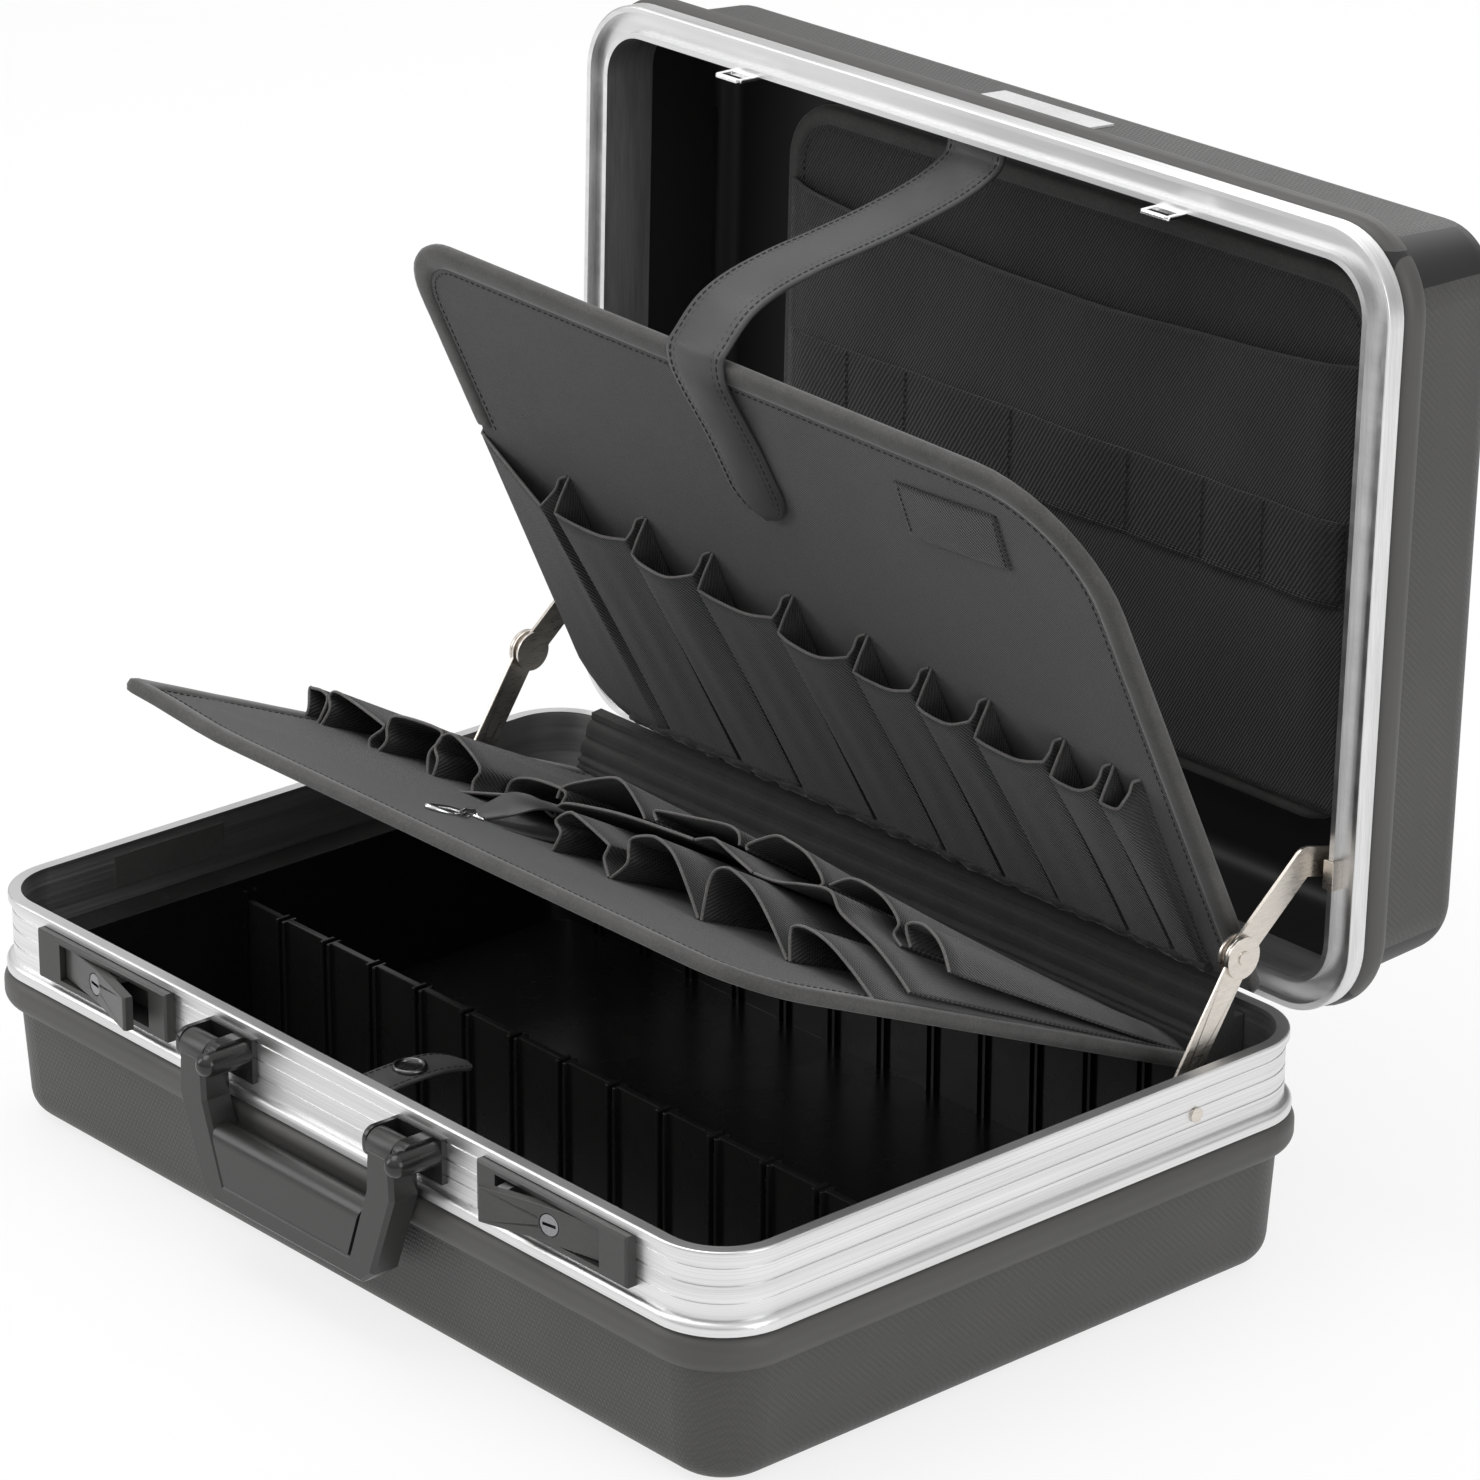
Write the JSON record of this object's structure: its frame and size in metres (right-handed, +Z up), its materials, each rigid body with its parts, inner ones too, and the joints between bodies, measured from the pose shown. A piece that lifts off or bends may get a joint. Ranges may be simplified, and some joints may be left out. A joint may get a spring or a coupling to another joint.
{
  "type": "tool case",
  "caption": "Suitcase style tool case: moulded shells with aluminium frames, hinged lid on folding stays, two pocketed tool boards, latches, swing handle and tray.",
  "frame": {"origin": "middle of the open case's overall box, on the floor under its feet", "axes": "+X along the case to the right seen from the handle side, +Y from the handle to the hinges, +Z up"},
  "size_m": [0.4604, 0.4216, 0.4104],
  "materials": {
    "moulded_shell": "fine dotted grain on the walls, plain satin shoulder",
    "frame_aluminium": "drawn lengthwise with rolled grooves",
    "liner_plastic": "deep black vacuum formed liner",
    "hardware_plastic": "satin mid grey moulding",
    "bracket_plastic": "polished dark moulding",
    "grip_plastic": "softer darker grip",
    "board_fabric": "twill weave over a stiff board",
    "pocket_fabric": "twill bellows pockets with bound lips",
    "binding_tape": "grey edge binding",
    "strap_leather": "dark grey leather, double stitched",
    "stay_nickel": "warm nickel plate on pressed strip",
    "bright_steel": "bright plate",
    "plain_steel": "plated steel",
    "label_film": "bare dark label",
    "badge_metal": "bare pale plate"
  },
  "bodies": {
    "base": {"base_shell": "moulded_shell", "base_frame": "frame_aluminium", "liner_tray": "liner_plastic", "long_divider": "liner_plastic", "inner_label": "label_film", "board_spine": "board_fabric", "front_strap": "strap_leather", "strap_stud": "bright_steel", "hinge_leaves_base": "plain_steel", "hinge_pins": "plain_steel", "hinge_rivets_base": "plain_steel", "stay_base_rivets": "stay_nickel", "handle_bracket_left": "bracket_plastic", "handle_bracket_right": "bracket_plastic", "handle_pins": "plain_steel", "latch_housing_left": "hardware_plastic", "latch_housing_right": "hardware_plastic", "latch_pins": "plain_steel"},
    "lid": {"lid_shell": "moulded_shell", "lid_frame": "frame_aluminium", "badge_plate": "badge_metal", "catch_loop_left": "bright_steel", "catch_loop_right": "bright_steel", "document_panel": "board_fabric", "document_pocket": "pocket_fabric", "elastic_band": "pocket_fabric", "hinge_leaves_lid": "plain_steel", "hinge_rivets_lid": "plain_steel", "stay_anchor_left": "stay_nickel", "stay_anchor_right": "stay_nickel", "carry_strap": "strap_leather"},
    "upper_board": {"upper_board": "board_fabric", "upper_board_binding": "binding_tape", "upper_board_pockets": "pocket_fabric", "upper_board_patch": "pocket_fabric"},
    "lower_board": {"lower_board": "board_fabric", "lower_board_binding": "binding_tape", "lower_board_wide_pocket": "pocket_fabric", "lower_board_back_pockets": "pocket_fabric", "lower_board_front_pockets": "pocket_fabric", "clip_strap": "strap_leather", "snap_hook": "bright_steel"},
    "handle": {"handle_frame": "hardware_plastic", "handle_grip": "grip_plastic"},
    "stay_lower_arm_left": {"stay_lower_arm_left": "stay_nickel", "stay_mid_rivet_left": "stay_nickel"},
    "stay_upper_arm_left": {"stay_upper_arm_left": "stay_nickel", "stay_end_rivet_left": "stay_nickel"},
    "latch_lever_left": {"latch_lever_left": "hardware_plastic", "latch_hook_left": "plain_steel"},
    "lock_left": {"lock_cylinder_left": "bright_steel"},
    "stay_lower_arm_right": {"stay_lower_arm_right": "stay_nickel", "stay_mid_rivet_right": "stay_nickel"},
    "stay_upper_arm_right": {"stay_upper_arm_right": "stay_nickel", "stay_end_rivet_right": "stay_nickel"},
    "latch_lever_right": {"latch_lever_right": "hardware_plastic", "latch_hook_right": "plain_steel"},
    "lock_right": {"lock_cylinder_right": "bright_steel"}
  },
  "joints": [
    {"name": "lid_hinge", "type": "hinge", "parent": "base", "child": "lid", "pos_m": [0, 0.12667, 0.0922], "axis": [1, 0, 0], "range_deg": [0, 91.5], "deforming": ["carry_strap"]},
    {"name": "upper_board_fold", "type": "hinge", "parent": "base", "child": "upper_board", "pos_m": [0, 0.10902, 0.109], "axis": [1, 0, 0], "range_deg": [0, 65.1], "deforming": ["upper_board_pockets"]},
    {"name": "lower_board_fold", "type": "hinge", "parent": "base", "child": "lower_board", "pos_m": [0, 0.09502, 0.0775], "axis": [1, 0, 0], "range_deg": [0, 23.75], "deforming": ["lower_board_back_pockets", "lower_board_wide_pocket", "lower_board_front_pockets", "front_strap", "strap_stud"]},
    {"name": "stay_lower_pivot_left", "type": "hinge", "parent": "base", "child": "stay_lower_arm_left", "pos_m": [-0.2126, 0.05462, 0.0818], "axis": [1, 0, 0], "range_deg": [0, 93.9]},
    {"name": "stay_middle_pivot_left", "type": "hinge", "parent": "stay_lower_arm_left", "child": "stay_upper_arm_left", "pos_m": [-0.2126, 0.08862, 0.1329], "axis": [1, 0, 0], "range_deg": [-116.6, 0]},
    {"name": "stay_lower_pivot_right", "type": "hinge", "parent": "base", "child": "stay_lower_arm_right", "pos_m": [0.2126, 0.05462, 0.0818], "axis": [1, 0, 0], "range_deg": [0, 93.9]},
    {"name": "stay_middle_pivot_right", "type": "hinge", "parent": "stay_lower_arm_right", "child": "stay_upper_arm_right", "pos_m": [0.2126, 0.08862, 0.1329], "axis": [1, 0, 0], "range_deg": [-116.6, 0]},
    {"name": "handle_swing", "type": "hinge", "parent": "base", "child": "handle", "pos_m": [-0.0035, -0.19798, 0.0865], "axis": [-1, 0, 0], "range_deg": [0, 95]},
    {"name": "latch_lever_pivot_left", "type": "hinge", "parent": "base", "child": "latch_lever_left", "pos_m": [-0.15, -0.18863, 0.08475], "axis": [0, 0, -1], "range_deg": [-10, 10]},
    {"name": "lock_turn_left", "type": "hinge", "parent": "latch_lever_left", "child": "lock_left", "pos_m": [-0.13919, -0.19069, 0.08475], "axis": [-0.1736, -0.9848, 0], "range_deg": [0, 90]},
    {"name": "latch_lever_pivot_right", "type": "hinge", "parent": "base", "child": "latch_lever_right", "pos_m": [0.15, -0.18863, 0.08475], "axis": [0, 0, 1], "range_deg": [-10, 10]},
    {"name": "lock_turn_right", "type": "hinge", "parent": "latch_lever_right", "child": "lock_right", "pos_m": [0.13919, -0.19069, 0.08475], "axis": [0.1736, -0.9848, 0], "range_deg": [0, 90]}
  ],
  "couplings": [
    {"joint": "upper_board_fold", "follows": "lid_hinge", "ratio": 0.7104},
    {"joint": "lower_board_fold", "follows": "lid_hinge", "ratio": 0.259},
    {"joint": "stay_lower_pivot_left", "follows": "lid_hinge", "ratio": 1.0251},
    {"joint": "stay_middle_pivot_left", "follows": "lid_hinge", "ratio": -1.2732},
    {"joint": "stay_lower_pivot_right", "follows": "lid_hinge", "ratio": 1.0251},
    {"joint": "stay_middle_pivot_right", "follows": "lid_hinge", "ratio": -1.2732}
  ]
}
